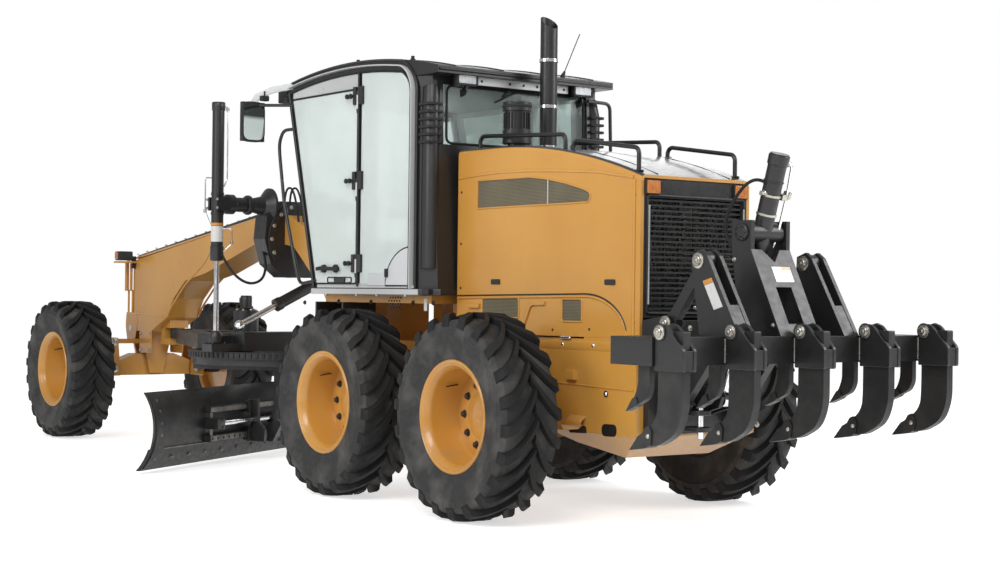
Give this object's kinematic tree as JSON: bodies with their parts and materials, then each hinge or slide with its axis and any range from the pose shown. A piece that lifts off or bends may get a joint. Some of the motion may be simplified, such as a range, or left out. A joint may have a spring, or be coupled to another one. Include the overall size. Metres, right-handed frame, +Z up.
{
  "type": "motor grader",
  "caption": "Articulated motor grader with a cab, turning circle and moldboard, leaning steered front wheels, tandem rear wheels and a raised rear ripper.",
  "frame": {"origin": "on the ground under the middle of the machine", "axes": "+X to the machine's left, +Y to its rear, +Z up"},
  "size_m": [3.3667, 9.6283, 3.3441],
  "materials": {
    "yellow_paint": "gloss",
    "black_paint": "satin",
    "grey_paint": "satin",
    "dark_steel": "matte",
    "rod_chrome": "polished",
    "tyre_rubber": "matte",
    "window_glass": "clear",
    "seat_cloth": "woven",
    "black_plastic": "textured",
    "cutting_steel": "worn"
  },
  "bodies": {
    "rear_frame": {"rear_frame": "yellow_paint", "tail_box": "yellow_paint", "ripper_mount": "black_paint", "engine_block": "dark_steel", "hood": "yellow_paint", "grille": "black_paint", "exhaust": "black_paint", "hood_rails": "black_paint", "cab_frame": "black_paint", "cab_roof": "yellow_paint", "cab_glass": "window_glass", "seat": "seat_cloth", "cab_controls": "black_plastic", "steps": "black_paint"},
    "door_left": {"door_left": "black_paint", "door_glass_left": "window_glass"},
    "door_right": {"door_right": "black_paint", "door_glass_right": "window_glass"},
    "tandem_left": {"tandem_case_left": "black_paint"},
    "tandem_right": {"tandem_case_right": "black_paint"},
    "front_frame": {"front_frame": "yellow_paint", "beam_cover": "grey_paint", "saddle": "black_paint", "head_lamps": "black_plastic"},
    "front_axle": {"front_axle": "black_paint"},
    "lean_left": {"lean_bracket_left": "black_paint"},
    "lean_right": {"lean_bracket_right": "black_paint"},
    "lean_bar": {"lean_bar": "black_paint"},
    "spindle_left": {"spindle_left": "dark_steel"},
    "spindle_right": {"spindle_right": "dark_steel"},
    "drawbar_swivel": {"drawbar_swivel": "dark_steel"},
    "drawbar": {"drawbar": "black_paint"},
    "circle": {"circle": "black_paint"},
    "blade_carrier": {"blade_carrier": "black_paint"},
    "moldboard": {"moldboard": "black_paint", "shift_rod": "rod_chrome"},
    "lift_barrel_left": {"lift_barrel_left": "black_paint"},
    "lift_barrel_right": {"lift_barrel_right": "black_paint"},
    "lift_rod_left": {"lift_rod_left": "rod_chrome"},
    "lift_rod_right": {"lift_rod_right": "rod_chrome"},
    "centre_barrel": {"centre_barrel": "black_paint"},
    "centre_rod": {"centre_rod": "rod_chrome"},
    "ripper_upper_links": {"ripper_upper_links": "black_paint"},
    "ripper_lower_links": {"ripper_lower_links": "black_paint"},
    "ripper_carriage": {"ripper_beam": "black_paint", "ripper_shanks": "black_paint"},
    "ripper_barrel": {"ripper_barrel": "black_paint"},
    "ripper_rod": {"ripper_rod": "rod_chrome"},
    "wheel_front_left": {"rim_front_left": "yellow_paint", "tyre_front_left": "tyre_rubber"},
    "wheel_front_right": {"rim_front_right": "yellow_paint", "tyre_front_right": "tyre_rubber"},
    "wheel_middle_left": {"rim_middle_left": "yellow_paint", "tyre_middle_left": "tyre_rubber"},
    "wheel_middle_right": {"rim_middle_right": "yellow_paint", "tyre_middle_right": "tyre_rubber"},
    "wheel_rear_left": {"rim_rear_left": "yellow_paint", "tyre_rear_left": "tyre_rubber"},
    "wheel_rear_right": {"rim_rear_right": "yellow_paint", "tyre_rear_right": "tyre_rubber"}
  },
  "joints": [
    {"name": "articulation", "type": "hinge", "parent": "rear_frame", "child": "front_frame", "pos_m": [0, -0.045, 0], "axis": [0, 0, 1], "range_deg": [-25, 25]},
    {"name": "tandem_left_pivot", "type": "hinge", "parent": "rear_frame", "child": "tandem_left", "pos_m": [0.59, 2.015, 0.65], "axis": [1, 0, 0], "range_deg": [-15, 15]},
    {"name": "door_left_hinge", "type": "hinge", "parent": "rear_frame", "child": "door_left", "pos_m": [0.779, 0.965, 0], "axis": [0, 0, 1], "range_deg": [0, 80]},
    {"name": "tandem_right_pivot", "type": "hinge", "parent": "rear_frame", "child": "tandem_right", "pos_m": [-0.59, 2.015, 0.65], "axis": [1, 0, 0], "range_deg": [-15, 15]},
    {"name": "door_right_hinge", "type": "hinge", "parent": "rear_frame", "child": "door_right", "pos_m": [-0.779, 0.965, 0], "axis": [0, 0, 1], "range_deg": [-80, 0]},
    {"name": "wheel_middle_left_roll", "type": "hinge", "parent": "tandem_left", "child": "wheel_middle_left", "pos_m": [1.02, 1.229, 0.65], "axis": [1, 0, 0], "continuous": true},
    {"name": "wheel_middle_right_roll", "type": "hinge", "parent": "tandem_right", "child": "wheel_middle_right", "pos_m": [-1.02, 1.229, 0.65], "axis": [1, 0, 0], "continuous": true},
    {"name": "wheel_rear_left_roll", "type": "hinge", "parent": "tandem_left", "child": "wheel_rear_left", "pos_m": [1.02, 2.801, 0.65], "axis": [1, 0, 0], "continuous": true},
    {"name": "wheel_rear_right_roll", "type": "hinge", "parent": "tandem_right", "child": "wheel_rear_right", "pos_m": [-1.02, 2.801, 0.65], "axis": [1, 0, 0], "continuous": true},
    {"name": "axle_tilt", "type": "hinge", "parent": "front_frame", "child": "front_axle", "pos_m": [0, -4.165, 0.68], "axis": [0, 1, 0], "range_deg": [-15, 15]},
    {"name": "lean_left_pivot", "type": "hinge", "parent": "front_axle", "child": "lean_left", "pos_m": [0.437, -4.165, 0.64], "axis": [0, 1, 0], "range_deg": [-18, 18]},
    {"name": "lean_right_pivot", "type": "hinge", "parent": "front_axle", "child": "lean_right", "pos_m": [-0.437, -4.165, 0.64], "axis": [0, 1, 0], "range_deg": [-18, 18]},
    {"name": "lean_bar_pivot", "type": "hinge", "parent": "lean_left", "child": "lean_bar", "pos_m": [0.437, -4.165, 0.91], "axis": [0, 1, 0], "range_deg": [-18, 18]},
    {"name": "steer_left_kingpin", "type": "hinge", "parent": "lean_left", "child": "spindle_left", "pos_m": [0.565, -4.165, 0.64], "axis": [0, 0, 1], "range_deg": [-40, 40]},
    {"name": "wheel_front_left_roll", "type": "hinge", "parent": "spindle_left", "child": "wheel_front_left", "pos_m": [0.836, -4.165, 0.65], "axis": [1, 0, 0], "continuous": true},
    {"name": "steer_right_kingpin", "type": "hinge", "parent": "lean_right", "child": "spindle_right", "pos_m": [-0.565, -4.165, 0.64], "axis": [0, 0, 1], "range_deg": [-40, 40]},
    {"name": "wheel_front_right_roll", "type": "hinge", "parent": "spindle_right", "child": "wheel_front_right", "pos_m": [-0.836, -4.165, 0.65], "axis": [1, 0, 0], "continuous": true},
    {"name": "drawbar_swing", "type": "hinge", "parent": "front_frame", "child": "drawbar_swivel", "pos_m": [0, -3.605, 1], "axis": [0, 0, 1], "range_deg": [-7, 7]},
    {"name": "drawbar_lift", "type": "hinge", "parent": "drawbar_swivel", "child": "drawbar", "pos_m": [0, -3.47, 1], "axis": [1, 0, 0], "range_deg": [0, 10]},
    {"name": "lift_left_pivot", "type": "hinge", "parent": "front_frame", "child": "lift_barrel_left", "pos_m": [0.74, -1.305, 2.13], "axis": [0, 1, 0], "range_deg": [-14.61, 14.61]},
    {"name": "lift_left_rod", "type": "slide", "parent": "lift_barrel_left", "child": "lift_rod_left", "axis": [0, 0, 1], "range_m": [-0.001, 0.38415]},
    {"name": "lift_right_pivot", "type": "hinge", "parent": "front_frame", "child": "lift_barrel_right", "pos_m": [-0.74, -1.305, 2.13], "axis": [0, 1, 0], "range_deg": [-14.61, 14.61]},
    {"name": "lift_right_rod", "type": "slide", "parent": "lift_barrel_right", "child": "lift_rod_right", "axis": [0, 0, 1], "range_m": [-0.001, 0.38415]},
    {"name": "centre_pivot", "type": "hinge", "parent": "front_frame", "child": "centre_barrel", "pos_m": [-0.36, -1.155, 1.6], "axis": [0, 1, 0], "range_deg": [-22.25, 0]},
    {"name": "centre_rod", "type": "slide", "parent": "centre_barrel", "child": "centre_rod", "axis": [0.8981, 0, -0.4397], "range_m": [-0.26983, 0.26983]},
    {"name": "circle_turn", "type": "hinge", "parent": "drawbar", "child": "circle", "pos_m": [0, -1.585, 0.85], "axis": [0, 0, 1], "continuous": true},
    {"name": "blade_tip", "type": "hinge", "parent": "circle", "child": "blade_carrier", "pos_m": [-0.06624, -1.47899, 0.215], "axis": [0.848, 0.5299, 0], "range_deg": [-25, 3]},
    {"name": "blade_shift", "type": "slide", "parent": "blade_carrier", "child": "moldboard", "axis": [0.848, 0.5299, 0], "range_m": [-0.5, 0.5]},
    {"name": "ripper_lift", "type": "hinge", "parent": "rear_frame", "child": "ripper_upper_links", "pos_m": [0, 3.965, 1.25], "axis": [1, 0, 0], "range_deg": [-73.3, 0]},
    {"name": "ripper_lower_pivot", "type": "hinge", "parent": "rear_frame", "child": "ripper_lower_links", "pos_m": [0, 3.875, 0.76], "axis": [1, 0, 0], "range_deg": [-73.3, 0]},
    {"name": "ripper_level", "type": "hinge", "parent": "ripper_upper_links", "child": "ripper_carriage", "pos_m": [0, 4.246, 1.617], "axis": [1, 0, 0], "range_deg": [0, 73.3]},
    {"name": "ripper_barrel_pivot", "type": "hinge", "parent": "ripper_carriage", "child": "ripper_barrel", "pos_m": [0, 4.265, 1.79], "axis": [1, 0, 0], "range_deg": [-27.66, 0]},
    {"name": "ripper_rod_slide", "type": "slide", "parent": "ripper_barrel", "child": "ripper_rod", "axis": [0, -0.29, -0.957], "range_m": [-0.39105, 0]}
  ],
  "couplings": [
    {"joint": "lean_right_pivot", "follows": "lean_left_pivot", "ratio": 1},
    {"joint": "lean_bar_pivot", "follows": "lean_left_pivot", "ratio": -1},
    {"joint": "steer_right_kingpin", "follows": "steer_left_kingpin", "ratio": 1},
    {"joint": "lift_left_pivot", "follows": "drawbar_swing", "ratio": 2.0721},
    {"joint": "lift_left_rod", "follows": "drawbar_lift", "m_per_rad": 2.1953},
    {"joint": "lift_right_pivot", "follows": "drawbar_swing", "ratio": 2.0721},
    {"joint": "lift_right_rod", "follows": "drawbar_lift", "m_per_rad": 2.1953},
    {"joint": "centre_pivot", "follows": "drawbar_lift", "ratio": -2.2034},
    {"joint": "centre_rod", "follows": "drawbar_swing", "m_per_rad": -2.2004},
    {"joint": "ripper_lower_pivot", "follows": "ripper_lift", "ratio": 1},
    {"joint": "ripper_level", "follows": "ripper_lift", "ratio": -1},
    {"joint": "ripper_barrel_pivot", "follows": "ripper_lift", "ratio": 0.37702},
    {"joint": "ripper_rod_slide", "follows": "ripper_lift", "m_per_rad": 0.30528}
  ]
}
